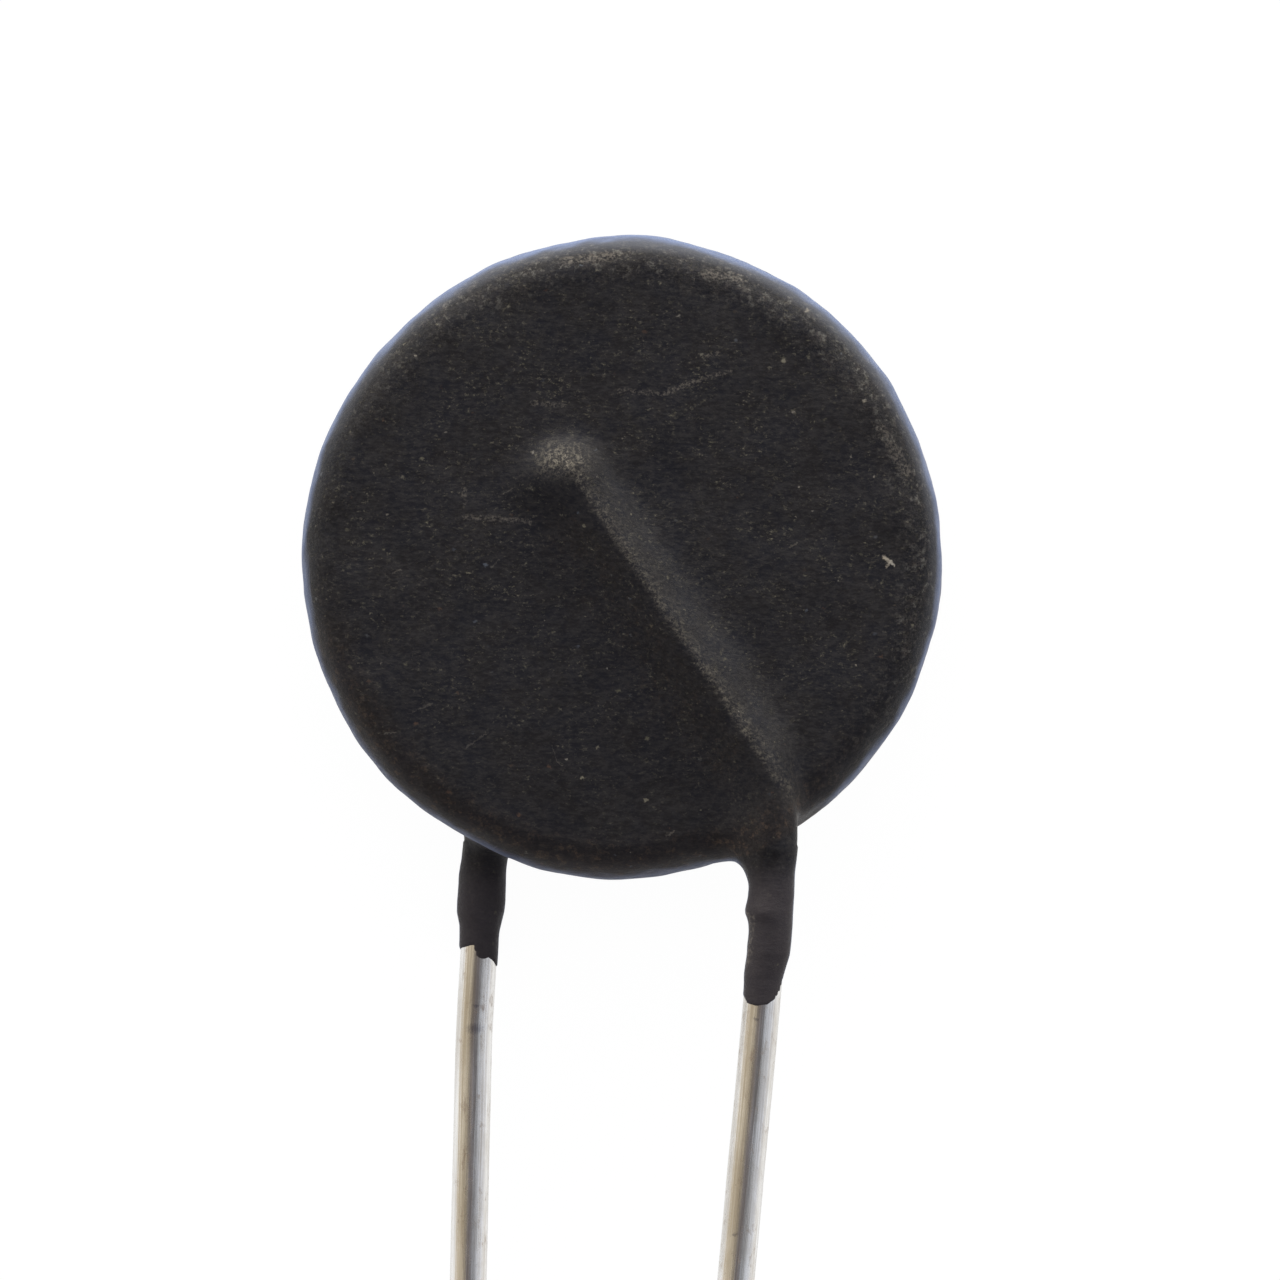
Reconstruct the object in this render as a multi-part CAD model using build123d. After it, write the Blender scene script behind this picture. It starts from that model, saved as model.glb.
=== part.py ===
from build123d import *
import os
from math import cos, radians, sin, sqrt, tan

os.makedirs("parts", exist_ok=True)

# Disc thermistor with two radial leads. It lies flat as it would come to rest, face up: +Z is up,
# the leads run towards -Y, and the origin is on the table under the middle of its outline.
# Everything is first built about the centre of the ceramic disc, with Z = 0 at mid-thickness.

# Ceramic: one pressed and fired coin
ceramic_diameter = 15.0
ceramic_thickness = 2.4
ceramic_edge_break = 0.15

# Electrodes: a silver film fired on each face, held back from the edge
electrode_diameter = 14.0
electrode_thickness = 0.03

# Leads: tinned wire, soldered across the face, bent at the rim and run down as a leg
wire_diameter = 1.0
lead_length = 25.0          # from the coated disc's edge to the sheared tip
soldered_run = 10.2         # from the wire's inner end to the bend at the rim
run_angle = 33.7            # of that run to the disc's axis of symmetry, degrees
rim_bend_outside = 0.09     # how far the bend's corner lies outside the ceramic
rim_bend_radius = 4.0
front_leg_x = 4.29          # where each leg crosses the edge of the ceramic
rear_leg_x = -3.66
front_leg_lean = 5.3        # degrees that a leg moves to -X on its way down
rear_leg_lean = 3.3
front_tip_lean = 5.3        # the same below the slight bend that handling has left
rear_tip_lean = 1.4
handling_bend_drop = 4.25   # how far that bend lies below the coated disc's edge
handling_bend_radius = 30.0
front_tip_fall = 0.45       # how far the front lead's tip sinks back towards the table

# Solder: a mound along the wire, drawn up against it, and a film under it
solder_film = 0.05
solder_width = 2.2
solder_height = 0.5
solder_length = 7.0
solder_slope = 45.0         # of the mound's sides, degrees

# Coating: dipped resin, thick on the faces and round the edge, thin over the wires
face_coat = 0.5             # over the silver
edge_coat = 1.15            # round the ceramic's edge
rim_rounding = 1.3
most_rounding = 0.9         # as a share of half the coated thickness
wire_coat = 0.13
ridge_blend = 0.8           # radius where a wire's ridge runs into the face and the rim
touching = 1e-4             # two surfaces nearer than this meet there
neck_drop = 0.05            # the ridge goes over to the sleeve this far below the disc's edge
sleeve_film = 0.05          # the resin's thickness where a sleeve runs out
sleeve_full_share = 0.4     # share of a sleeve's length that keeps the ridge's thickness
front_sleeve = 2.6          # length of each sleeve below the neck, on the wire's axis
rear_sleeve = 2.7
# How a sleeve's torn end slants: millimetres lower for each millimetre to -X, and for each
# millimetre outwards from the disc's middle plane
front_end_slant = (0.8, 1.45)
rear_end_slant = (-0.4, 0.9)

# What follows from those
wire_radius = wire_diameter / 2
ceramic_radius = ceramic_diameter / 2
silver_height = ceramic_thickness / 2 + electrode_thickness
wire_height = silver_height + solder_film + wire_radius
ridge_radius = wire_radius + wire_coat
body_radius = ceramic_radius + edge_coat
body_height = silver_height + face_coat
rest_height = wire_height + ridge_radius    # mid-thickness above the table, on the rear ridge
tip_level = -(body_radius + lead_length)
rear_tip_fall = rest_height - wire_height - wire_radius    # the rear tip just meets the table


def ceramic():
    """The bare ceramic coin with its pressed edges broken."""
    coin = Cylinder(ceramic_radius, ceramic_thickness)
    return chamfer(coin.edges().filter_by(GeomType.CIRCLE), ceramic_edge_break)


def electrode(side):
    """The silver film on the front (side 1) or the rear (side -1) face."""
    film = Cylinder(electrode_diameter / 2, electrode_thickness)
    return Pos(0, 0, side * (silver_height - electrode_thickness / 2)) * film


def lead_corners(side, leg_x, leg_lean, tip_lean, tip_fall):
    """The wire's inner end, rim bend, handling bend and tip, on its axis."""
    rim_bend_y = -sqrt((ceramic_radius + rim_bend_outside) ** 2 - leg_x**2)
    rim_bend = Vector(leg_x, rim_bend_y, side * wire_height)
    towards_centre = Vector(-side * sin(radians(run_angle)), cos(radians(run_angle)), 0)
    inner_end = rim_bend + towards_centre * soldered_run
    leg_drop = rim_bend_y + body_radius + handling_bend_drop
    handling_bend = rim_bend + Vector(-leg_drop * tan(radians(leg_lean)), -leg_drop, 0)
    tip_drop = handling_bend.Y - tip_level
    tip = handling_bend + Vector(-tip_drop * tan(radians(tip_lean)), -tip_drop, -tip_fall)
    return inner_end, rim_bend, handling_bend, tip


front_corners = lead_corners(1, front_leg_x, front_leg_lean, front_tip_lean, front_tip_fall)
rear_corners = lead_corners(-1, rear_leg_x, rear_leg_lean, rear_tip_lean, rear_tip_fall)


def bar(path, radius):
    """A round bar along a path."""
    return sweep(Plane(origin=path @ 0, z_dir=path % 0) * Circle(radius), path)


def lead(corners):
    """One wire from its soldered end to its tip, sheared square to the disc's axis."""
    inner_end, rim_bend, handling_bend, tip = corners
    past_tip = tip + (tip - handling_bend).normalized() * wire_diameter
    bends = [rim_bend_radius, handling_bend_radius]
    path = FilletPolyline(inner_end, rim_bend, handling_bend, past_tip, radius=bends)
    shear = Plane(origin=(0, tip_level, 0), z_dir=(0, 1, 0))
    return split(bar(path, wire_radius), bisect_by=shear, keep=Keep.TOP)


def solder(side, corners, wire):
    """The mound that holds a wire to the silver: a long slot with sloping sides, less the wire."""
    inner_end, rim_bend = corners[:2]
    along = (rim_bend - inner_end).normalized()
    middle = inner_end + along * (solder_length / 2)
    seat = Plane(origin=(middle.X, middle.Y, side * silver_height), x_dir=along, z_dir=(0, 0, side))
    footprint = seat * SlotCenterToCenter(solder_length, solder_width)
    return extrude(footprint, solder_height, taper=solder_slope) - wire


def neck_point(corners):
    """Where a leg's axis passes the neck's level."""
    rim_bend, handling_bend = corners[1:3]
    leg = (handling_bend - rim_bend).normalized()
    return rim_bend + leg * ((rim_bend.Y + body_radius + neck_drop) / -leg.Y)


def ridge(corners):
    """Resin over a wire, from a round end at its inner end to the neck below the rim."""
    inner_end, rim_bend, handling_bend = corners[:3]
    neck = neck_point(corners)
    path = FilletPolyline(inner_end, rim_bend, neck, radius=rim_bend_radius)
    return bar(path, ridge_radius) + Pos(inner_end) * Sphere(ridge_radius)


def sleeve(side, corners, length, end_slant):
    """Resin that ran down a leg: full at the neck, thinning to a film with a slanting torn end."""
    rim_bend, handling_bend = corners[1:3]
    leg = (handling_bend - rim_bend).normalized()
    neck = neck_point(corners)
    longest = length + wire_diameter * sum(abs(slant) for slant in end_slant)
    film_radius = wire_radius + sleeve_film
    side_view = Plane(origin=neck, x_dir=leg, z_dir=(0, 0, 1))
    outline = Polyline(
        (0, 0), (0, ridge_radius), (sleeve_full_share * length, ridge_radius),
        (longest, film_radius), (longest, 0), close=True,
    )
    drip = revolve(side_view * make_face(outline), Axis(neck, leg))
    to_side, outwards = end_slant
    end = Plane(origin=neck + leg * length, z_dir=leg + Vector(to_side, 0, -side * outwards))
    return split(drip, bisect_by=end, keep=Keep.BOTTOM)


def dipped_body():
    """The coated disc with both ridges run into its faces and its rim."""
    rounding = min(rim_rounding, most_rounding * body_height)
    flat = body_radius - rounding
    straight = body_height - rounding
    section = make_face([
        Line((0, -body_height), (flat, -body_height)),
        RadiusArc((flat, -body_height), (body_radius, -straight), -rounding),
        Line((body_radius, -straight), (body_radius, straight)),
        RadiusArc((body_radius, straight), (flat, body_height), -rounding),
        Line((flat, body_height), (0, body_height)),
        Line((0, body_height), (0, -body_height)),
    ])
    disc = revolve(Plane.XZ * section, Axis.Z)
    ridges = [ridge(front_corners), ridge(rear_corners)]
    body = disc + ridges
    seams = [
        edge for edge in body.edges()
        if disc.distance_to(edge @ 0.5) < touching
        and min(one.distance_to(edge @ 0.5) for one in ridges) < touching
    ]
    return fillet(seams, ridge_blend)


def place(shape):
    """From the disc's own centre to its place on the table."""
    middle_of_outline = (body_radius + tip_level) / 2
    return Pos(0, -middle_of_outline, rest_height) * shape


ceramic_disc = ceramic()
front_electrode = electrode(1)
rear_electrode = electrode(-1)
front_lead = lead(front_corners)
rear_lead = lead(rear_corners)
front_solder = solder(1, front_corners, front_lead)
rear_solder = solder(-1, rear_corners, rear_lead)
held_inside = [
    ceramic_disc, front_electrode, rear_electrode, front_solder, rear_solder, front_lead, rear_lead,
]
front_drip = sleeve(1, front_corners, front_sleeve, front_end_slant)
rear_drip = sleeve(-1, rear_corners, rear_sleeve, rear_end_slant)
coating = dipped_body() + [front_drip, rear_drip] - held_inside

nodes = {
    "ceramic_disc": ceramic_disc,
    "front_electrode": front_electrode,
    "rear_electrode": rear_electrode,
    "front_solder": front_solder,
    "rear_solder": rear_solder,
    "front_lead": front_lead,
    "rear_lead": rear_lead,
    "coating": coating,
}
for name, shape in nodes.items():
    export_step(place(shape), f"parts/{name}.step")
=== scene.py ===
import math

import bpy
import numpy as np
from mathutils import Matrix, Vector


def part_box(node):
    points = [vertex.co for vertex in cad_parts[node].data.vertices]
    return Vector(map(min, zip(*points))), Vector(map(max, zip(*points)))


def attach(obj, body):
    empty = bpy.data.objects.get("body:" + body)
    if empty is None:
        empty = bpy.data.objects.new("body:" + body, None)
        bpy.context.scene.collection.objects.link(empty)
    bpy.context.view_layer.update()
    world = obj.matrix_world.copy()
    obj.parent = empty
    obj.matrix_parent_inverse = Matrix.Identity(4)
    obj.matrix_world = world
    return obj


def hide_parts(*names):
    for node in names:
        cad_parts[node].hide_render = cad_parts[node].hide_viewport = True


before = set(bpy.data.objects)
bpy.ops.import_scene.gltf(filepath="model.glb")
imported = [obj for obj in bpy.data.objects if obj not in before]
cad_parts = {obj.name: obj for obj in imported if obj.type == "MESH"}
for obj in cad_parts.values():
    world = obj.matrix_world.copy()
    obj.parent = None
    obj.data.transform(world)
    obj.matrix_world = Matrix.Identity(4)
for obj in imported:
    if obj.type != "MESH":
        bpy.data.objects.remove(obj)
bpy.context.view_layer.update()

millimetre = 0.001


# The working element is a round tablet of metal oxide powder, pressed and
# fired to a dark grey ceramic. Nothing of it shows once the part is dipped.

def colour(red, green, blue):
    """Screen colour from 0 to 255 as the linear colour that a shader takes:
    the standard screen curve, a power of 2.4 above a short straight part."""
    screen = np.array([red, green, blue]) / 255
    linear = np.where(screen < 0.04045, screen / 12.92, ((screen + 0.055) / 1.055) ** 2.4)
    return (*linear, 1)


def put(tree, kind, inputs=(), **settings):
    """Adds one shader node. Settings are its options, inputs its sockets,
    each with a value or with the socket that feeds it."""
    made = tree.nodes.new("ShaderNode" + kind)
    for option, value in settings.items():
        setattr(made, option, value)
    for socket, value in dict(inputs).items():
        if isinstance(value, bpy.types.NodeSocket):
            tree.links.new(value, made.inputs[socket])
        else:
            made.inputs[socket].default_value = value
    return made


def new_finish(name, **sockets):
    """A material with one plain shader, whose even properties are given by
    socket name with underscores for spaces."""
    material = bpy.data.materials.new(name)
    material.use_nodes = True
    tree = material.node_tree
    shader = tree.nodes["Principled BSDF"]
    for socket, value in sockets.items():
        shader.inputs[socket.replace("_", " ")].default_value = value
    return material, tree, shader


def in_millimetres(tree):
    """Place on the piece in millimetres, from its Object coordinates."""
    place = put(tree, "TexCoord").outputs["Object"]
    return put(tree, "Mapping", {"Vector": place, "Scale": [1 / millimetre] * 3}).outputs[0]


def grain(tree, place, size, detail=3, roughness=0.55, stretch=(1, 1, 1)):
    """Soft noise from 0 to 1 whose lumps are about that many mm across, and
    drawn out by the stretch along each axis."""
    scaled = put(tree, "Mapping", {"Vector": place, "Scale": [1 / s for s in stretch]})
    noise = put(tree, "TexNoise", {
        "Vector": scaled.outputs[0], "Scale": 1 / size, "Detail": detail,
        "Roughness": roughness})
    return noise.outputs["Fac"]


def ramp(tree, value, low, high, start=0, end=1):
    """The value carried from low..high to start..end on a smooth step."""
    return put(tree, "MapRange", {
        "Value": value, "From Min": low, "From Max": high, "To Min": start,
        "To Max": end}, interpolation_type="SMOOTHSTEP").outputs[0]


def mix(tree, share, first, second):
    """Colour that goes from the first to the second by the share."""
    blend = put(tree, "Mix", data_type="RGBA")
    for socket, value in zip((blend.inputs[0], blend.inputs[6], blend.inputs[7]),
                             (share, first, second)):
        if isinstance(value, bpy.types.NodeSocket):
            tree.links.new(value, socket)
        else:
            socket.default_value = value
    return blend.outputs[2]


def bump(tree, height, depth, below=None):
    """Normal of a relief as many mm deep as the depth, over another relief."""
    inputs = {"Height": height, "Distance": depth * millimetre, "Strength": 1}
    if below is not None:
        inputs["Normal"] = below
    return put(tree, "Bump", inputs).outputs[0]


def calculate(tree, operation, first, second=0.0):
    """One sum on two values."""
    return put(tree, "Math", {0: first, 1: second}, operation=operation).outputs[0]


def product(tree, first, *others):
    """All the values multiplied together."""
    for other in others:
        first = calculate(tree, "MULTIPLY", first, other)
    return first


fired, tree, shader = new_finish("fired_ceramic", Roughness=0.62)
place = in_millimetres(tree)
pores = grain(tree, place, 0.12, 5, 0.7)
tree.links.new(mix(tree, pores, colour(58, 58, 62), colour(82, 80, 80)),
               shader.inputs["Base Color"])
tree.links.new(bump(tree, pores, 0.004), shader.inputs["Normal"])
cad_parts["ceramic_disc"].data.materials.clear()
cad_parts["ceramic_disc"].data.materials.append(fired)


# Each face of the tablet carries a silver electrode: a paste that is screen
# printed a few hundredths of a mm thick and fired on, so it is matt and even.

fired_silver, tree, shader = new_finish("fired_silver", Metallic=1.0)
place = in_millimetres(tree)
weave = grain(tree, place, 0.06, 2, 0.5, stretch=(1, 3, 1))
tree.links.new(mix(tree, weave, colour(196, 194, 188), colour(226, 224, 218)),
               shader.inputs["Base Color"])
tree.links.new(ramp(tree, weave, 0.2, 0.8, 0.42, 0.58), shader.inputs["Roughness"])
tree.links.new(bump(tree, weave, 0.003), shader.inputs["Normal"])
for name in ("front_electrode", "rear_electrode"):
    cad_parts[name].data.materials.clear()
    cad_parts[name].data.materials.append(fired_silver)


# The two leads are tinned copper wire, 1 mm thick. Each is soldered slantwise
# to its electrode, bent at the rim, and leaves the coating nearly straight.

wire_radius = 0.5
wire_bends = (4.0, 30.0)
front_wire = np.array([(-1.369, 14.725, 4.19), (4.29, 6.239, 4.19),
                       (3.674, -0.4, 4.19), (1.753, -21.10, 3.741)])
rear_wire = np.array([(1.999, 14.337, 0.63), (-3.66, 5.851, 0.63),
                      (-4.020, -0.4, 0.63), (-4.526, -21.10, 0.5)])
ring_gap = 0.09
ring_points = 88
arc_points = 32
cut_edge = 0.05
wire_swell, swell_length = 0.004, 1.3


def unit(vector):
    """The vector at a length of one."""
    return vector / np.linalg.norm(vector, axis=-1, keepdims=True)


def bend_arc(before, corner, after, radius):
    """Start, middle and turn of the arc that rounds a corner: it touches both
    runs at the radius over the tangent of half the angle between them."""
    back, ahead = unit(before - corner), unit(after - corner)
    half = np.arccos(back @ ahead) / 2
    middle = corner + unit(back + ahead) * radius / np.sin(half)
    return corner + back * radius / np.tan(half), middle, back, np.pi - 2 * half


def wire_line(corners, radii, gap):
    """Evenly spaced centreline of a bent wire: straight runs, with an arc of
    its own radius in place of each corner."""
    points = [corners[0]]
    for before, corner, after, radius in zip(corners, corners[1:], corners[2:], radii):
        start, middle, back, turn = bend_arc(before, corner, after, radius)
        angle = np.linspace(0, turn, arc_points)[:, None]
        points.extend(middle + np.cos(angle) * (start - middle) - np.sin(angle) * back * radius)
    points = np.array([*points, corners[-1]])
    run = np.append(0, np.cumsum(np.linalg.norm(np.diff(points, axis=0), axis=1)))
    length = run[-1]
    even = np.linspace(cut_edge, length - cut_edge, int(length / gap))
    edge = cut_edge * np.array([0, 0.35])
    even = np.concatenate([edge, even, length - edge[::-1]])
    return np.stack([np.interp(even, run, axis) for axis in points.T], 1), even, length


def ripple(points, wavelength, seed, waves=40):
    """Smooth unevenness of about -1 to 1: the sum of many plane waves of
    nearly one wavelength, each in a random direction with a random phase."""
    random = np.random.default_rng(seed)
    direction = unit(random.normal(size=(waves, 3)))
    direction *= 2 * np.pi / wavelength * random.uniform(0.7, 1.4, (waves, 1))
    phase = random.uniform(0, 2 * np.pi, waves)
    return np.cos(points @ direction.T + phase).sum(-1) * math.sqrt(2 / waves)


def new_piece(name, points, faces, finish):
    """Object at the origin from points in mm and faces of four or three
    points, smooth shaded, with its finish."""
    mesh = bpy.data.meshes.new(name)
    mesh.from_pydata(points * millimetre, [], faces)
    mesh.polygons.foreach_set("use_smooth", np.ones(len(mesh.polygons), bool))
    mesh.materials.append(finish)
    piece = bpy.data.objects.new(name, mesh)
    bpy.context.scene.collection.objects.link(piece)
    return piece


def wire_piece(name, corners, seed, finish):
    """Round wire as a circle carried along its centreline: the point at an
    angle is the centre plus the radius times the cosine to the side and the
    sine upwards. The radius is rounded off at the cut ends."""
    centre, run, length = wire_line(corners, wire_bends, ring_gap)
    heading = unit(np.gradient(centre, run, axis=0))
    side = unit(np.cross((0, 0, 1), heading))
    lift = np.cross(heading, side)
    angle = np.linspace(0, 2 * np.pi, ring_points, endpoint=False)
    short = 1 - np.clip(np.minimum(run, length - run) / cut_edge, 0, 1)
    radius = wire_radius - cut_edge * (1 - np.sqrt(1 - short ** 2))
    circle = (np.cos(angle)[None, :, None] * side[:, None]
              + np.sin(angle)[None, :, None] * lift[:, None])
    rings = centre[:, None] + circle * radius[:, None, None]
    swell = wire_swell * ripple(rings * (1, 0.4, 1), swell_length, seed)
    rings += circle * swell[..., None]
    points = np.concatenate([rings.reshape(-1, 3), centre[:1], centre[-1:]])
    index = np.arange(len(centre) * ring_points).reshape(len(centre), ring_points)
    beside = np.roll(index, -1, axis=1)
    walls = np.stack([index[:-1], beside[:-1], beside[1:], index[1:]], -1).reshape(-1, 4)
    first, last = np.full(ring_points, len(points) - 2), np.full(ring_points, len(points) - 1)
    ends = np.concatenate([np.stack([first, beside[0], index[0]], -1),
                           np.stack([last, index[-1], beside[-1]], -1)])
    piece = new_piece(name, points, [*walls.tolist(), *ends.tolist()], finish)
    turn = np.broadcast_to(np.stack([np.cos(angle), np.sin(angle)], -1), (len(run), ring_points, 2))
    along = np.broadcast_to(run[:, None, None], (len(run), ring_points, 1))
    drawn = np.concatenate([np.concatenate([turn, along], -1).reshape(-1, 3),
                            [(0, 0, 0), (0, 0, length)]]).astype(np.float32)
    piece.data.attributes.new("drawn", "FLOAT_VECTOR", "POINT").data.foreach_set(
        "vector", drawn.ravel())
    return piece


def vector(tree, operation, first, second=(0, 0, 0), output=0):
    """One sum on two vectors. Output 1 is a length, distance or dot product."""
    return put(tree, "VectorMath", {0: first, 1: second}, operation=operation).outputs[output]


tinned, tree, shader = new_finish("tinned_wire", Metallic=1.0)
place = in_millimetres(tree)
drawn = put(tree, "Attribute", attribute_name="drawn").outputs["Vector"]
scores = grain(tree, drawn, 0.13, 4, 0.65, stretch=(1, 1, 30))
pits = grain(tree, place, 0.05, 4, 0.65)
clouds = grain(tree, place, 0.8, 4, 0.65, stretch=(1, 2.4, 1))
stain = ramp(tree, grain(tree, place, 0.2, 5, 0.7, stretch=(1, 2.2, 1)), 0.55, 0.7)
metal = mix(tree, ramp(tree, scores, 0.3, 0.7), colour(206, 202, 197), colour(244, 243, 241))
metal = mix(tree, ramp(tree, clouds, 0.42, 0.62, 0, 0.45), metal, colour(196, 189, 178))
metal = mix(tree, product(tree, stain, 0.5), metal, colour(150, 128, 108))
dark_spots = ((-4.0, -0.26, 0.34), (-3.95, 0.36, 0.12), (-4.42, -17.6, 0.16),
              (3.02, -5.7, 0.12), (3.6, 0.1, 0.1), (2.7, -11.2, 0.14))
for spot_x, spot_y, size in dark_spots:
    gap = vector(tree, "SUBTRACT", place, (spot_x, spot_y, 0))
    gap = vector(tree, "MULTIPLY", gap, (1, 1.6, 0))
    gap = vector(tree, "LENGTH", gap, output=1)
    gap = calculate(tree, "ADD", gap, ramp(tree, pits, 0.3, 0.7, -0.05, 0.05))
    metal = mix(tree, ramp(tree, gap, 0.1 * size, size, 0.5, 0), metal, colour(112, 112, 130))
tree.links.new(metal, shader.inputs["Base Color"])
rough = calculate(tree, "ADD", ramp(tree, scores, 0.3, 0.7, 0.16, 0.28),
                  product(tree, stain, 0.2))
tree.links.new(rough, shader.inputs["Roughness"])
relief = bump(tree, scores, 0.009)
tree.links.new(bump(tree, pits, 0.003, relief), shader.inputs["Normal"])

for name, corners, seed in (("front_lead", front_wire, 11), ("rear_lead", rear_wire, 12)):
    lead = wire_piece(name + "_wire", corners, seed, tinned)
    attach(lead, "root")
    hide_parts(name)


# Solder holds each lead to its electrode. It wets the silver and climbs the
# wire in a long low fillet, bright where it froze last.

solder, tree, shader = new_finish("solder", Metallic=1.0)
place = in_millimetres(tree)
frost = grain(tree, place, 0.3, 5, 0.6)
tree.links.new(mix(tree, frost, colour(158, 160, 164), colour(206, 208, 210)),
               shader.inputs["Base Color"])
tree.links.new(ramp(tree, frost, 0.3, 0.7, 0.22, 0.48), shader.inputs["Roughness"])
tree.links.new(bump(tree, frost, 0.01), shader.inputs["Normal"])
for name in ("front_solder", "rear_solder"):
    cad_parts[name].data.materials.clear()
    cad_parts[name].data.materials.append(solder)


# The coating is a black resin. The tablet is dipped in it leads up, so the
# resin swells over the wires as ridges and runs a little way down the leads,
# where it ends in a torn edge. It is cured matt and has picked up pale dust.

coat_low, coat_high = (np.array(corner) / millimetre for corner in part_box("coating"))
body_radius = (coat_high[0] - coat_low[0]) / 2
body_centre = np.array([0, coat_high[1] - body_radius, (coat_low[2] + coat_high[2]) / 2])
half_thickness = 1.73
rim_in, rim_down = 1.0, 1.5

# Swells of the outline: angle in degrees, height in mm and spread in degrees.
rim_swells = ((85, 0.1, 9), (147, -0.04, 22), (220, 0.075, 8), (263, 0.04, 12),
              (288, -0.035, 8), (25, -0.045, 14))


def angle_between(first, second):
    """Turn from the second angle to the first, from -180 to 180 degrees."""
    return (first - second + 180) % 360 - 180


def dipped_disc(points):
    """Distance outside the dipped tablet: a disc whose rim is rounded as a
    quarter of an ellipse, and whose radius swells a little at a few angles.
    The distance is the ellipse's equation over the length of its gradient."""
    across = points[..., :2] - body_centre[:2]
    angle = np.degrees(np.arctan2(across[..., 1], across[..., 0]))
    radius = body_radius + sum(height * np.exp(-(angle_between(angle, middle) / width) ** 2)
                               for middle, height, width in rim_swells)
    out = np.maximum(np.linalg.norm(across, axis=-1) - radius + rim_in, 0) / rim_in
    up = np.abs(points[..., 2] - body_centre[2]) - half_thickness + rim_down
    up = np.maximum(up, 0) / rim_down
    far = np.hypot(out, up)
    steep = np.maximum(np.hypot(out / rim_in, up / rim_down), 1e-6)
    return np.where(far > 0, (far - 1) * far / steep, -rim_in)


def smooth_steps(stations, places, steps=400, spread=21):
    """Values read between stations, each a place and its value, with their
    corners rounded by a moving average over that many of the fine steps."""
    at, value = np.array(stations).T
    fine = np.linspace(at[0], at[-1], steps)
    window = np.hanning(spread)
    padded = np.pad(np.interp(fine, at, value), spread // 2, mode="edge")
    return np.interp(places, fine, np.convolve(padded, window / window.sum(), "valid"))


def wire_coat(points, corners, left_side, right_side, torn_edge, melt_width):
    """Distance outside the resin round one wire, and how widely it melts into
    the disc there. Over the face it is a round bar along the wire; along the
    leg its radius changes by height and side, and at the torn edge it rounds
    off and dives under the wire's surface."""
    start, middle, back, _ = bend_arc(*corners[:3], wire_bends[0])
    inner, leg_way = corners[0], unit(corners[2] - corners[1])
    finish = corners[1] + leg_way * np.linalg.norm(start - corners[1])
    plan = points[..., :2]
    over = points[..., 2] - inner[2]
    passed = (plan - inner[:2]) @ -back[:2]
    run = np.clip(passed, 0, np.linalg.norm(start - inner))
    beside = np.linalg.norm(plan - inner[:2] + run[..., None] * back[:2], axis=-1)
    along = (plan - finish[:2]) @ leg_way[:2]
    in_bend = ((plan - start[:2]) @ -back[:2] > 0) & (along < 0)
    bend = np.abs(np.linalg.norm(plan - middle[:2], axis=-1) - wire_bends[0])
    beside = np.where(in_bend, np.minimum(bend, beside), beside)
    off = (plan - finish[:2]) @ np.array([-leg_way[1], leg_way[0]])
    beside = np.where(along > 0, np.abs(off), beside)

    radius = np.interp(passed, *ridge_radius)
    height = finish[1] + along * leg_way[1]
    side = np.degrees(np.arctan2(over, off))
    share = (1 + np.cos(np.radians(side))) / 2
    thick = ((1 - share) * smooth_steps(left_side, height)
             + share * smooth_steps(right_side, height))
    angles, ends = np.array(torn_edge).T
    end = np.interp(side % 360, angles, ends)
    rise = np.clip((height - end) / edge_rounding, 0, 1)
    sleeve = under_wire + (thick - under_wire) * np.sqrt(rise * (2 - rise))
    radius = np.where(along > 0, sleeve, radius)
    crest = np.hypot(beside, np.abs(over) - crest_height) - crest_radius
    crest += np.clip(along - crest_end, 0, 1) + crest_drop * np.clip(1 - passed / crest_rise, 0, 1)
    distance = melt(np.hypot(beside, over) - radius, crest, crest_melt)
    at, left_width, right_width = np.array(melt_width).T
    to_right = np.clip(0.5 + off / side_blend, 0, 1)
    width = ((1 - to_right) * np.interp(passed, at, left_width)
             + to_right * np.interp(passed, at, right_width))
    return np.maximum(distance, ends.min() - end_margin - height), width


# Along each wire, in mm: the ridge's radius at distances down the wire, then
# how widely it melts into the disc, as distance, left width and right width.
ridge_radius = ((0, 2.5, 7.5, 9.5), (0.54, 0.54, 0.54, 0.56))
crest_radius, crest_height, crest_melt = 0.14, 0.46, 0.25
crest_end, crest_drop, crest_rise = 0.2, 0.22, 2.6
front_melt = ((-1, 0.8, 0.8), (2.5, 1.05, 1.05), (8.6, 1.1, 1.1), (9.8, 1.4, 0.7),
              (11.2, 1.95, 0.3))
rear_melt = ((-1, 1.2, 1.2), (2.5, 1.0, 1.0), (7.5, 0.95, 0.95), (10.5, 0.8, 0.8))
side_blend = 0.6
inner_mound, mound_melt = ((-1.8, 14.7, 3.72), (0.95, 0.6, 0.6)), 0.8
rim_web, web_melt = ((3.3, 7.75, 4.2), (4.5, 5.92, 3.6), 0.42), 0.5
under_wire = 0.46
edge_rounding, end_margin = 0.09, 0.06

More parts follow.
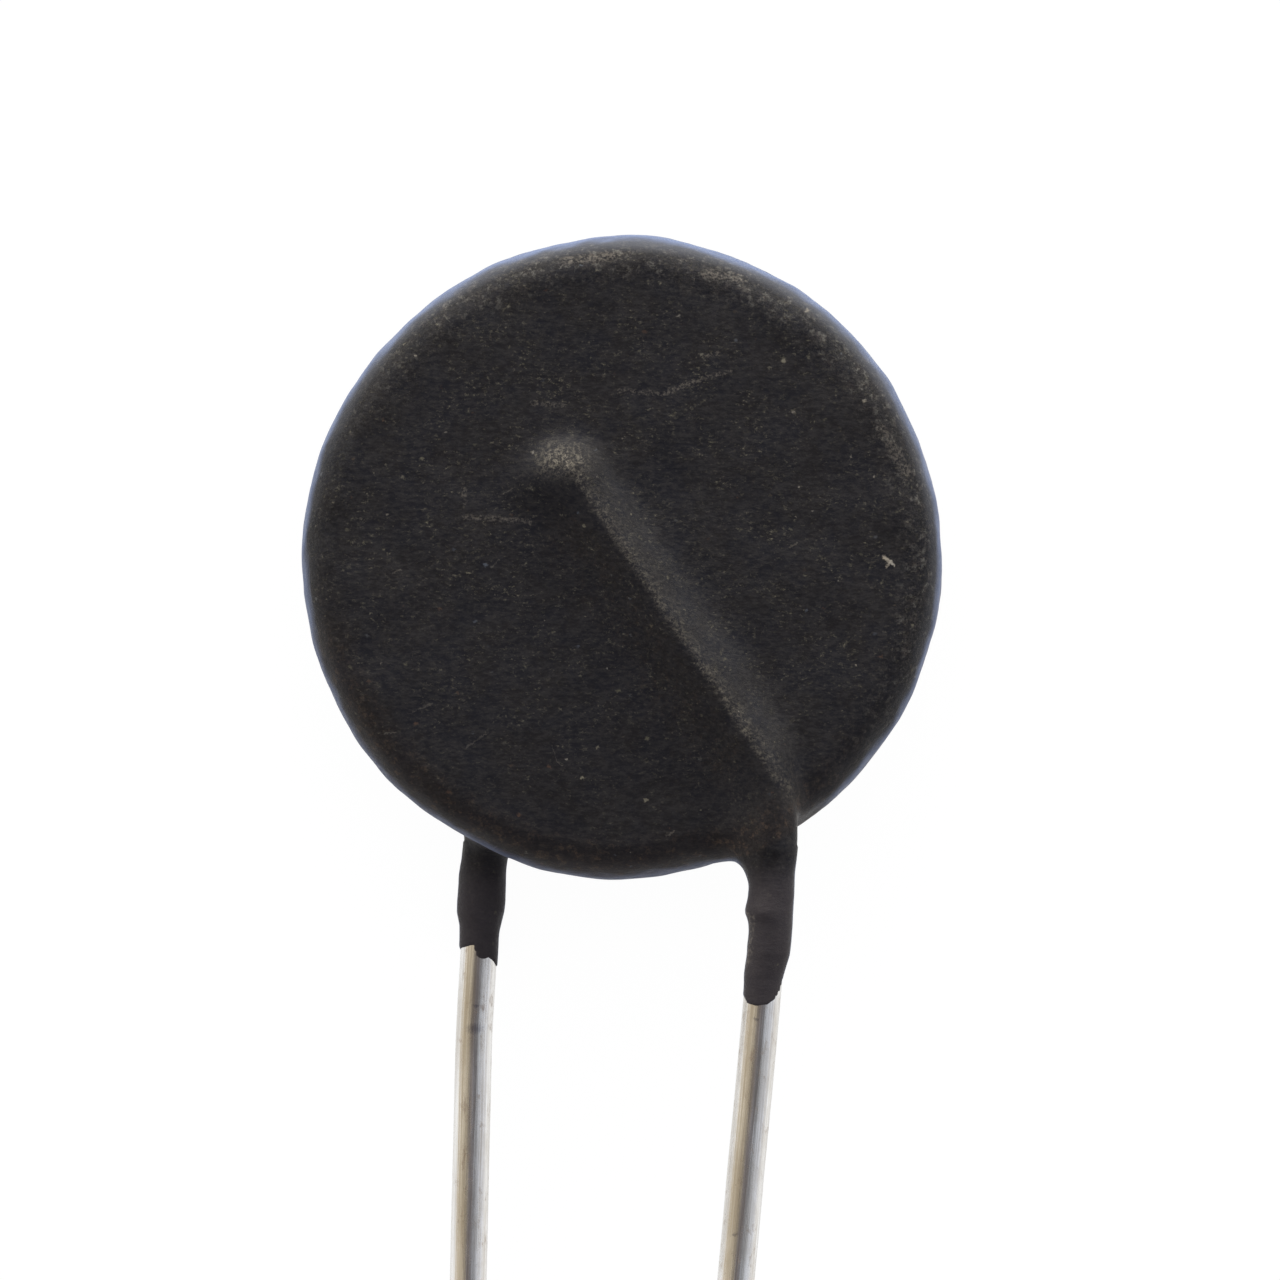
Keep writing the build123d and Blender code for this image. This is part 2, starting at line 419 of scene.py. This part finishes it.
# Each sleeve: the radius of its left and right side at heights, and where its
# torn edge lies at angles round the wire, from the right side over the front.
front_left = ((0.6, 0.52), (0.95, 0.53), (1.3, 0.55), (1.65, 0.53), (2.4, 0.53), (2.6, 0.55),
              (2.74, 0.6), (2.86, 0.66), (3.0, 0.67), (3.3, 0.6), (3.6, 0.55), (4.4, 0.53),
              (5.2, 0.55))
front_right = ((1.15, 0.5), (1.5, 0.555), (1.86, 0.635), (2.2, 0.645), (2.6, 0.64), (3.2, 0.6),
               (4.1, 0.58), (5.2, 0.6))
front_torn = ((0, 1.2), (26, 0.86), (43, 0.66), (73, 0.47), (104, 0.42), (142, 0.47),
              (160, 0.6), (180, 0.65), (225, 0.75), (270, 0.62), (315, 0.85), (360, 1.2))
rear_left = ((1.8, 0.54), (2.2, 0.55), (2.5, 0.57), (2.85, 0.66), (3.8, 0.66), (4.3, 0.6),
             (5.2, 0.6))
rear_right = ((1.4, 0.53), (2.15, 0.525), (2.42, 0.53), (2.66, 0.57), (2.95, 0.635),
              (3.2, 0.645), (3.8, 0.62), (4.4, 0.62), (5.2, 0.6))
rear_torn = ((0, 1.42), (15, 1.44), (37, 1.576), (57, 1.665), (75, 1.608), (93, 1.665),
             (101, 1.816), (110, 1.995), (129, 1.935), (162, 1.878), (180, 1.86), (230, 1.7),
             (270, 1.52), (320, 1.6), (360, 1.42))


def melt(first, second, width):
    """Union of two distances that flow into each other where they differ by
    less than the width: the lower one, less a quarter of the width times the
    square of how close they are."""
    close = np.maximum(1 - np.abs(first - second) / width, 0)
    return np.minimum(first, second) - width / 4 * close ** 2


def round_bar(points, first, last, radius):
    """Distance outside a round-ended bar from the first point to the last."""
    way = np.subtract(last, first)
    share = np.clip((points - first) @ way / (way @ way), 0, 1)[..., None]
    return np.linalg.norm(points - first - share * way, axis=-1) - radius


def coat_distance(points):
    """Distance outside the whole coating: the disc, with the coats of both
    wires melting into it, a low mound of resin, an ellipsoid, over the
    solder at the front wire's inner end, and a web of resin that runs
    straight on past the front wire's bend to the rim."""
    front, width = wire_coat(points, front_wire, front_left, front_right, front_torn, front_melt)
    body = melt(dipped_disc(points), front, width)
    rear, width = wire_coat(points, rear_wire, rear_left, rear_right, rear_torn, rear_melt)
    middle, reach = np.array(inner_mound)
    from_middle = np.linalg.norm((points - middle) / reach, axis=-1)
    steep = np.linalg.norm((points - middle) / reach ** 2, axis=-1)
    mound = (from_middle - 1) * from_middle / np.maximum(steep, 1e-6)
    body = melt(melt(body, rear, width), mound, mound_melt)
    return melt(body, round_bar(points, *rim_web), web_melt)


def graded(low, high, coarse, patches):
    """Grid lines from low to high, the coarse gap apart, and closer together
    inside the patches, each given by its two ends and its gap."""
    lines = [low]
    while lines[-1] < high:
        gap = min([size for start, end, size in patches if start <= lines[-1] < end] + [coarse])
        lines.append(lines[-1] + gap)
    return np.array(lines)


def net_over(distance, lines):
    """Closed mesh of the surface where the distance is zero: one point in
    each grid cell that the surface crosses, at the mean of its crossings of
    the cell's edges, and one face round each grid edge that it crosses."""
    grid = np.stack(np.meshgrid(*lines, indexing="ij"), -1)
    value = np.stack([distance(layer) for layer in grid])
    cells = [count - 1 for count in value.shape]
    total, hits, edges = np.zeros((*cells, 3)), np.zeros(cells), []
    for axis in range(3):
        low = [slice(None)] * 3
        high = list(low)
        low[axis], high[axis] = slice(0, -1), slice(1, None)
        before, after = value[tuple(low)], value[tuple(high)]
        crossed = (before < 0) != (after < 0)
        share = np.where(crossed, before / np.where(crossed, before - after, 1), 0)[..., None]
        point = (grid[tuple(low)] * (1 - share) + grid[tuple(high)] * share) * crossed[..., None]
        for first in (slice(0, -1), slice(1, None)):
            for second in (slice(0, -1), slice(1, None)):
                part = [slice(None)] * 3
                part[(axis + 1) % 3], part[(axis + 2) % 3] = first, second
                total += point[tuple(part)]
                hits += crossed[tuple(part)]
        edges.append((crossed, before < 0))
    index = np.cumsum(hits.ravel() > 0).reshape(cells) - 1
    points = total[hits > 0] / hits[hits > 0][:, None]
    faces = []
    for axis, (crossed, leaving) in enumerate(edges):
        at = np.argwhere(crossed)
        second, third = np.eye(3, dtype=int)[(axis + 1) % 3], np.eye(3, dtype=int)[(axis + 2) % 3]
        ring = [at - second - third, at - third, at, at - second]
        quad = np.stack([index[tuple(corner.T)] for corner in ring], -1)
        out = leaving[tuple(at.T)]
        faces.append(np.where(out[:, None], quad, quad[:, ::-1]))
    return points, np.concatenate(faces)


def slope(distance, points, step=0.004):
    """Gradient of the distance by differences to both sides."""
    return np.stack([(distance(points + step * way) - distance(points - step * way)) / (2 * step)
                     for way in np.eye(3)], -1)


coarse_gap, upright_gap = 0.15, 0.094
finer_across = ((-4.85, -3.0, 0.06), (-2.2, 2.75, 0.08), (2.75, 5.05, 0.06))
finer_along = ((0.2, 2.1, 0.04), (2.1, 6.0, 0.075), (6.0, 15.6, 0.1))
lines = (graded(-9.0, 9.0, coarse_gap, finer_across),
         graded(0.2, 21.5, coarse_gap, finer_along),
         graded(-0.15, 5.05, upright_gap, ()))
skin, skin_faces = net_over(coat_distance, lines)
closer_steps = 4
for _ in range(closer_steps):
    way = slope(coat_distance, skin)
    skin -= (coat_distance(skin) / (way ** 2).sum(-1))[:, None] * way

# The cured skin is uneven: height and length in mm and seed of its ripples,
# the broad ones only above the sleeves. It never dips below the sheet.
broad_ripples = ((0.014, 3.2, 21), (0.007, 1.1, 22))
fine_ripple = (0.002, 0.45, 23)
sleeve_top, sleeve_fade = 2.4, 1.5
touch = 0.06
way = unit(slope(coat_distance, skin))
uneven = sum(height * ripple(skin, length, seed) for height, length, seed in broad_ripples)
uneven *= np.clip((skin[:, 1] - sleeve_top) / sleeve_fade, 0, 1)
uneven += fine_ripple[0] * ripple(skin, *fine_ripple[1:])
skin += way * uneven[:, None]
skin[:, 2] = np.where(skin[:, 2] < touch, touch * np.exp(skin[:, 2] / touch - 1), skin[:, 2])


def specks(tree, place, spacing, size, share, shift):
    """Scattered dots of about that size in mm, one in each cell of the given
    spacing, kept in a share of the cells: 1 inside a dot, by its strength,
    and a random number that tells its hue."""
    moved = put(tree, "Mapping", {"Vector": place, "Location": [shift] * 3, "Scale": (0.7, 1, 1)})
    cell = put(tree, "TexVoronoi", {"Vector": moved.outputs[0], "Scale": 1 / spacing}).outputs
    dot = ramp(tree, cell["Distance"], 0.3 * size / spacing, size / spacing, 1, 0)
    chance = put(tree, "SeparateColor", {0: cell["Color"]}).outputs
    kept = ramp(tree, chance[0], 1 - share, 1 - share * 0.4)
    return product(tree, dot, kept), chance[1]


def dust_colour(tree, hue):
    """Dust runs from brown through olive and cream to a cold grey."""
    warm = mix(tree, ramp(tree, hue, 0.15, 0.4), colour(90, 70, 58), colour(106, 102, 86))
    pale = mix(tree, ramp(tree, hue, 0.45, 0.65), warm, colour(150, 143, 124))
    return mix(tree, ramp(tree, hue, 0.75, 0.9), pale, colour(102, 108, 118))


resin, tree, shader = new_finish("black_resin", IOR=1.45, Specular_IOR_Level=0.12,
                                 Sheen_Weight=0.4, Sheen_Roughness=0.25)
shader.inputs["Sheen Tint"].default_value = colour(205, 203, 200)
place = in_millimetres(tree)
wander = put(tree, "TexNoise", {"Vector": place, "Scale": 14, "Detail": 3}).outputs["Color"]
wander = vector(tree, "SUBTRACT", wander, (0.5, 0.5, 0.5))
ragged = vector(tree, "MULTIPLY_ADD", wander, (0.16, 0.16, 0.16))
tree.links.new(place, ragged.node.inputs[2])

# The resin is near black, here colder and there warmer, and streaked. Fine
# crumbs of dust lie on it in drifts.
hue_drift = ramp(tree, grain(tree, place, 1.2, 5, 0.7), 0.4, 0.6)
base = mix(tree, hue_drift, colour(33, 33, 39), colour(37, 35, 37))
streaks = grain(tree, place, 0.11, 5, 0.75, stretch=(2.2, 1, 1))
base = mix(tree, ramp(tree, streaks, 0.38, 0.66, 0, 0.9), base, colour(53, 51, 52))
crumbs = grain(tree, place, 0.09, 6, 0.8, stretch=(1.5, 1, 1))
lumps = ramp(tree, grain(tree, place, 0.8, 4, 0.65), 0.38, 0.66, 0.2, 1)
_, height, depth = put(tree, "SeparateXYZ", {0: place}).outputs
crumbs = product(tree, ramp(tree, crumbs, 0.52, 0.75, 0, 0.95), lumps,
                 ramp(tree, height, 4.5, 11, 0.45, 1))
base = mix(tree, crumbs, base, dust_colour(tree, grain(tree, place, 0.11, 2)))

# Round the rim lie clots of dust, pale above and brown below. A pale band on the
# upper rim and a bluish sheen where the rim turns away from view are painted highlights.
out = vector(tree, "SUBTRACT", place, tuple(body_centre[:2]) + (0,))
out = vector(tree, "MULTIPLY", out, (1, 1, 0))
reach = vector(tree, "LENGTH", out, output=1)
outward = vector(tree, "NORMALIZE", out)
upward = vector(tree, "DOT_PRODUCT", outward, (0.25, 0.97, 0), output=1)
rightward = vector(tree, "DOT_PRODUCT", outward, (0.57, 0.82, 0), output=1)
near_rim = ramp(tree, reach, 7.0, 8.3)
clots = ramp(tree, grain(tree, ragged, 0.26, 6, 0.85), 0.49, 0.66)
veil = product(tree, near_rim, ramp(tree, rightward, -0.35, 0.45, 0.12, 1), clots, 0.7)
mottle = mix(tree, ramp(tree, grain(tree, place, 0.13, 3), 0.35, 0.65), colour(92, 78, 70),
             colour(126, 123, 116))
base = mix(tree, veil, base, mottle)
low_rim = product(tree, ramp(tree, reach, 7.3, 8.3), ramp(tree, upward, -0.2, -0.9, 0, 0.7),
                  ramp(tree, reach, 8.75, 8.6), ramp(tree, clots, 0, 1, 0.12, 1))
base = mix(tree, low_rim, base, colour(98, 80, 66))
flecked = product(tree, ramp(tree, grain(tree, ragged, 0.09, 4, 0.8), 0.52, 0.44), near_rim,
                  ramp(tree, upward, -0.7, 0, 0.2, 0.6))
base = mix(tree, flecked, base, colour(16, 15, 17))
on_front = ramp(tree, depth, 2.6, 3.2)
toward_front = ramp(tree, depth, 1.0, 3.6)
# Painted highlight: a pale bluish band on the outer rim, strongest toward the lamp above.
edge = product(tree, ramp(tree, reach, 8.15, 8.55), ramp(tree, upward, -0.3, 0.7, 0, 0.5),
               ramp(tree, reach, 8.9, 8.7), toward_front)
base = mix(tree, edge, base, colour(108, 111, 121))
# Painted sheen: a bluish colour mixed in where the rim and sleeves turn away from view.
turned = put(tree, "LayerWeight", {"Blend": 0.5}).outputs["Facing"]
crotch = vector(tree, "MULTIPLY", place, (1, 1, 0))
crotch = vector(tree, "DISTANCE", crotch, (4.7, 5.3, 0), output=1)
painted_rim_sheen = product(tree, ramp(tree, turned, 0.55, 0.9), ramp(tree, upward, -0.95, -0.35, 0.5, 0.75),
                ramp(tree, reach, 8.15, 8.4), ramp(tree, reach, 8.95, 8.75), toward_front,
                ramp(tree, crotch, 0.5, 1.6))
painted_sleeve_sheen = product(tree, ramp(tree, turned, 0.7, 0.97, 0, 0.5), ramp(tree, height, 4.6, 4.2))
painted_rim_sheen = calculate(tree, "MAXIMUM", painted_rim_sheen, painted_sleeve_sheen)
# The face is a little darker towards its bottom.
base = mix(tree, ramp(tree, height, 10, 5, 0, 0.12), base, colour(14, 12, 12))
base = mix(tree, ramp(tree, height, 4.6, 3.4, 0, 0.5), base, colour(78, 72, 75))

# Loose specks: their spacing and size in mm, share of cells, strength, shift.
speck_layers = ((0.33, 0.055, 0.35, 0.4, 7.7), (0.62, 0.07, 0.4, 0.65, 1.9),
                (1.5, 0.075, 0.45, 0.8, 5.3))
for spacing, size, share, strength, shift in speck_layers:
    dot, hue = specks(tree, ragged, spacing, size, share, shift)
    dot = product(tree, dot, ramp(tree, height, 3.2, 4.6, 0.6 * strength, strength))
    base = mix(tree, dot, base, dust_colour(tree, hue))

# The ridge's crest, its lit side and its inner end carry pale dust specks and a
# painted highlight where the lamp catches them. Brown dust in the hollow on its
# left also lightens the ridge's shade there, as painted light.
slant = unit(front_wire[1] - front_wire[0])
from_end = vector(tree, "SUBTRACT", place, (front_wire[0][0], front_wire[0][1], 0))
off_ridge = vector(tree, "DOT_PRODUCT", from_end, (-slant[1], slant[0], 0), output=1)
down_ridge = vector(tree, "DOT_PRODUCT", from_end, tuple(slant), output=1)
on_crest = product(tree, ramp(tree, off_ridge, -0.12, 0.06), ramp(tree, off_ridge, 0.6, 0.05),
                   ramp(tree, down_ridge, 11.0, 10.0), ramp(tree, down_ridge, -0.3, 0.2))
in_hollow = product(tree, ramp(tree, off_ridge, -2.4, -0.9), ramp(tree, off_ridge, -0.15, -0.5),
                    ramp(tree, down_ridge, 10.5, 8.5), ramp(tree, down_ridge, 0, 1.5), on_front)
# Brown dust in the hollow left of the ridge, which also paints light into the ridge's shade.
hollow_dust_and_fill = ramp(tree, grain(tree, ragged, 0.16, 6, 0.85), 0.5, 0.7, 0, 0.35)
base = mix(tree, product(tree, in_hollow, hollow_dust_and_fill), base, colour(88, 74, 64))
gap = vector(tree, "DISTANCE", vector(tree, "MULTIPLY", place, (0.7, 1, 0)), (-1.12, 15.15, 0),
             output=1)
inner_end = ramp(tree, gap, 0.8, 0.1)
# Pale dust and painted highlight on the crest's lit side and on the inner end.
pale_dust_and_highlight = product(tree, calculate(tree, "MAXIMUM", on_crest, inner_end),
                 ramp(tree, grain(tree, place, 0.12, 5, 0.85), 0.46, 0.66), on_front)
base = mix(tree, product(tree, pale_dust_and_highlight, 0.72), base, colour(110, 104, 94))
# Painted highlight: the inner end, which faces the lamp, is painted paler still.
base = mix(tree, product(tree, pale_dust_and_highlight, inner_end, 0.5), base, colour(150, 142, 128))

# The marks that stand out on the face, in mm: specks with their place, size
# and strength, then scratches and smears with both ends, width and strength.
large_specks = (
    (-5.55, 17.92, 0.06, 0.9), (-4.74, 15.87, 0.06, 0.5), (-2.4, 15.33, 0.08, 0.7),
    (-1.52, 15.24, 0.06, 0.8), (-1.09, 14.74, 0.05, 0.8), (-0.66, 14.68, 0.05, 0.6),
    (-7.04, 13.55, 0.06, 0.5), (-6.32, 13.66, 0.05, 0.5), (0.02, 15.71, 0.05, 0.6),
    (4.99, 19.16, 0.1, 0.7), (6.52, 16.72, 0.09, 0.7), (1.52, 19.0, 0.08, 0.5),
    (4.61, 16.41, 0.08, 0.6), (4.76, 14.4, 0.06, 1.0), (6.78, 14.66, 0.055, 1.0),
    (4.68, 13.6, 0.045, 0.7), (5.13, 13.75, 0.05, 0.6), (6.16, 15.22, 0.04, 0.6),
    (-3.41, 11.51, 0.055, 1.0), (-2.08, 10.81, 0.04, 0.6), (-6.49, 9.65, 0.06, 0.5),
    (-1.49, 7.07, 0.04, 0.7), (-0.41, 9.52, 0.05, 0.7), (6.3, 9.61, 0.045, 0.9),
    (7.89, 9.29, 0.05, 0.8), (2.11, 9.52, 0.05, 0.7), (3.14, 8.37, 0.055, 0.9),
    (5.8, 11.89, 0.04, 0.6), (0.24, 4.58, 0.04, 0.7), (-2.58, 4.56, 0.05, 0.5))
scratches = (
    (7.05, 12.52, 7.2, 12.4, 0.072, 0.84), (7.2, 12.4, 7.32, 12.3, 0.056, 0.78),
    (7.2, 12.4, 7.12, 12.26, 0.048, 0.73), (-6.16, 12.09, -5.95, 12.18, 0.032, 0.16),
    (-3.51, 12.23, -3.3, 12.45, 0.0176, 0.12), (-3.19, 14.2, -2.95, 14.36, 0.024, 0.1),
    (4.49, 12.77, 4.73, 12.9, 0.024, 0.12), (-5.73, 8.31, -5.11, 8.58, 0.028, 0.1),
    (-6.4, 7.77, -6.08, 7.8, 0.024, 0.12), (-4.19, 7.39, -3.65, 7.77, 0.024, 0.1),
    (-1.89, 7.45, -1.76, 7.04, 0.016, 0.1), (-1.76, 7.04, -1.62, 6.91, 0.02, 0.12),
    (-3.63, 4.55, -3.36, 4.73, 0.024, 0.14), (1.19, 4.99, 1.41, 5.15, 0.028, 0.14))
smears = (
    (-0.05, 17.0, 1.11, 16.9, 0.09, 0.3), (1.11, 16.9, 2.11, 17.3, 0.1, 0.4),
    (2.11, 17.3, 2.92, 17.53, 0.08, 0.4), (2.24, 17.9, 2.6, 18.0, 0.08, 0.4),
    (-4.22, 13.61, -2.49, 13.47, 0.1, 0.35), (-4.24, 14.34, -4.24, 13.99, 0.09, 0.35),
    (2.24, 20.15, 3.27, 19.99, 0.16, 0.4), (6.97, 15.96, 7.65, 14.82, 0.2, 0.32),
    (-1.5, 20.5, -0.1, 20.62, 0.16, 0.4), (-2.4, 16.66, -1.6, 16.6, 0.09, 0.3),
    (3.42, 2.85, 3.34, 1.7, 0.2, 0.45))


def near_line(tree, place, start, end, width):
    """1 on a line between two points of the face, falling to 0 at the width
    from its nearest point."""
    way = np.subtract(end, start)
    out = vector(tree, "SUBTRACT", place, (*start, 0))
    share = vector(tree, "DOT_PRODUCT", out, (*(way / (way @ way)), 0), output=1)
    share = put(tree, "Clamp", {0: share}).outputs[0]
    nearest = vector(tree, "MULTIPLY_ADD", (*way, 0), (0, 0, 0))
    tree.links.new(share, nearest.node.inputs[1])
    return ramp(tree, vector(tree, "DISTANCE", out, nearest, output=1), width, 0.4 * width)


flat = vector(tree, "MULTIPLY", ragged, (1, 1, 0))
marked = 0.0
for speck_x, speck_y, size, strength in large_specks:
    gap = vector(tree, "DISTANCE", flat, (speck_x, speck_y, 0), output=1)
    dot = ramp(tree, gap, 0.8 * size, 0.2 * size, 0, 0.55 * strength)
    marked = calculate(tree, "MAXIMUM", marked, dot)
for *ends, width, strength in scratches:
    line = near_line(tree, flat, ends[:2], ends[2:], width)
    marked = calculate(tree, "MAXIMUM", marked, product(tree, line, strength))
marked = product(tree, marked, ramp(tree, streaks, 0.36, 0.56, 0.25, 1), on_front)
fleck = mix(tree, grain(tree, place, 0.3, 1), colour(176, 158, 130), colour(190, 188, 182))
base = mix(tree, marked, base, fleck)
smeared = 0.0
for *ends, width, strength in smears:
    line = near_line(tree, flat, ends[:2], ends[2:], width)
    smeared = calculate(tree, "MAXIMUM", smeared, product(tree, line, strength))
smeared = product(tree, smeared, ramp(tree, grain(tree, place, 0.09, 4, 0.75), 0.45, 0.6),
                  on_front)
base = mix(tree, smeared, base, colour(132, 124, 114))
# The painted bluish sheen of the rim and sleeves goes on last.
base = mix(tree, painted_rim_sheen, base, colour(124, 142, 186))
tree.links.new(base, shader.inputs["Base Color"])
tree.links.new(ramp(tree, streaks, 0.3, 0.7, 0.42, 0.58), shader.inputs["Roughness"])
tree.links.new(bump(tree, streaks, 0.02), shader.inputs["Normal"])

coating = new_piece("dipped_coating", skin, skin_faces.tolist(), resin)
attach(coating, "root")
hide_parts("coating")


# The part lies on a white sheet that fills the view, and a wide soft lamp
# stands low behind its top edge, so that the ridge throws one side dark.

floor_size = 3.0
sheet_mesh = bpy.data.meshes.new("floor")
sheet_mesh.from_pydata([(x * floor_size, y * floor_size, 0)
                        for x, y in ((-1, -1), (1, -1), (1, 1), (-1, 1))], [], [(0, 1, 2, 3)])
floor = bpy.data.objects.new("floor", sheet_mesh)
bpy.context.scene.collection.objects.link(floor)

shadow_share, paper_white = 0.06, 1.03
paper = bpy.data.materials.new("white_paper")
paper.use_nodes = True
tree = paper.node_tree
tree.nodes.clear()
ray = put(tree, "LightPath").outputs
seen = calculate(tree, "MAXIMUM", ray["Is Camera Ray"],
                 calculate(tree, "MAXIMUM", ray["Is Glossy Ray"], ray["Is Transmission Ray"]))
plain = put(tree, "BsdfDiffuse", {"Color": colour(176, 176, 176)})
glow = put(tree, "Emission", {"Color": (1, 1, 1, 1), "Strength": paper_white - shadow_share})
shaded = put(tree, "BsdfDiffuse", {"Color": (shadow_share,) * 3 + (1,)})
shown = put(tree, "AddShader", {0: glow.outputs[0], 1: shaded.outputs[0]})
surface = put(tree, "MixShader", {0: seen, 1: plain.outputs[0], 2: shown.outputs[0]})
put(tree, "OutputMaterial", {"Surface": surface.outputs[0]})
sheet_mesh.materials.append(paper)

room = bpy.data.worlds.new("room")
bpy.context.scene.world = room
room.use_nodes = True
tree = room.node_tree
tree.nodes.clear()
toward = put(tree, "SeparateXYZ", {0: put(tree, "TexCoord").outputs["Generated"]}).outputs
ray = put(tree, "LightPath").outputs
glossy = ray["Is Glossy Ray"]
sky = ramp(tree, toward["Y"], 0.0, 0.6, 0.41, 0.8)
at_sides = ramp(tree, calculate(tree, "ABSOLUTE", toward["Y"]), 0.45, 0.15)
left_wall = ramp(tree, toward["X"], -0.38, -0.58, -0.22, 0.18)
right_wall = ramp(tree, toward["X"], 0.28, 0.9, 0, 0.62)
low_wall = ramp(tree, toward["Z"], 0.3, 0.05, 0, 0.25)
walls = calculate(tree, "ADD", calculate(tree, "ADD", left_wall, right_wall), low_wall)
walls = product(tree, walls, at_sides, glossy)
strength = calculate(tree, "MAXIMUM", calculate(tree, "ADD", sky, walls), ray["Is Camera Ray"])
warm_side = product(tree, ramp(tree, toward["X"], -0.1, -0.45), glossy)
cool_side = product(tree, ramp(tree, toward["X"], -0.1, 0.4), glossy)
tint = mix(tree, glossy, (0.98, 0.99, 1.04, 1), colour(255, 242, 247))
tint = mix(tree, warm_side, tint, colour(255, 240, 214))
tint = mix(tree, cool_side, tint, colour(240, 244, 254))
backdrop = put(tree, "Background", {"Color": tint, "Strength": strength})
put(tree, "OutputWorld", {"Surface": backdrop.outputs[0]})


def soft_lamp(name, azimuth, elevation, distance, size, power, tint):
    """Wide lamp that faces the part from an azimuth and elevation in degrees,
    distance, width and height in metres, power in watts."""
    lamp = bpy.data.lights.new(name, "AREA")
    lamp.shape = "RECTANGLE"
    lamp.size, lamp.size_y = size
    lamp.energy = power
    lamp.color = tint
    around, up = math.radians(azimuth), math.radians(elevation)
    stand = bpy.data.objects.new(name, lamp)
    stand.location = (distance * math.cos(up) * math.cos(around),
                      distance * math.cos(up) * math.sin(around) + body_centre[1] * millimetre,
                      distance * math.sin(up))
    stand.rotation_euler = (math.pi / 2 - up, 0, around + math.pi / 2)
    bpy.context.scene.collection.objects.link(stand)


soft_lamp("window_light", azimuth=90, elevation=10, distance=0.6, size=(2.0, 0.14),
          power=10.6, tint=(1, 0.98, 0.9))


# The camera looks straight down on the front face, its frame's middle a
# little right of the disc's centre and 2.2 mm below it.

frame_width = 34.6
view_centre = (0.486, 10.284, 2.41)
camera_height = 350
camera = bpy.data.cameras.new("camera")
camera.sensor_width = 36
camera.lens = camera.sensor_width * camera_height / frame_width
camera.clip_start, camera.clip_end = 0.01, 10
viewer = bpy.data.objects.new("camera", camera)
viewer.location = (np.array(view_centre) + (0, 0, camera_height)) * millimetre
bpy.context.scene.collection.objects.link(viewer)
bpy.context.scene.camera = viewer
bpy.context.scene.view_settings.view_transform = "Standard"
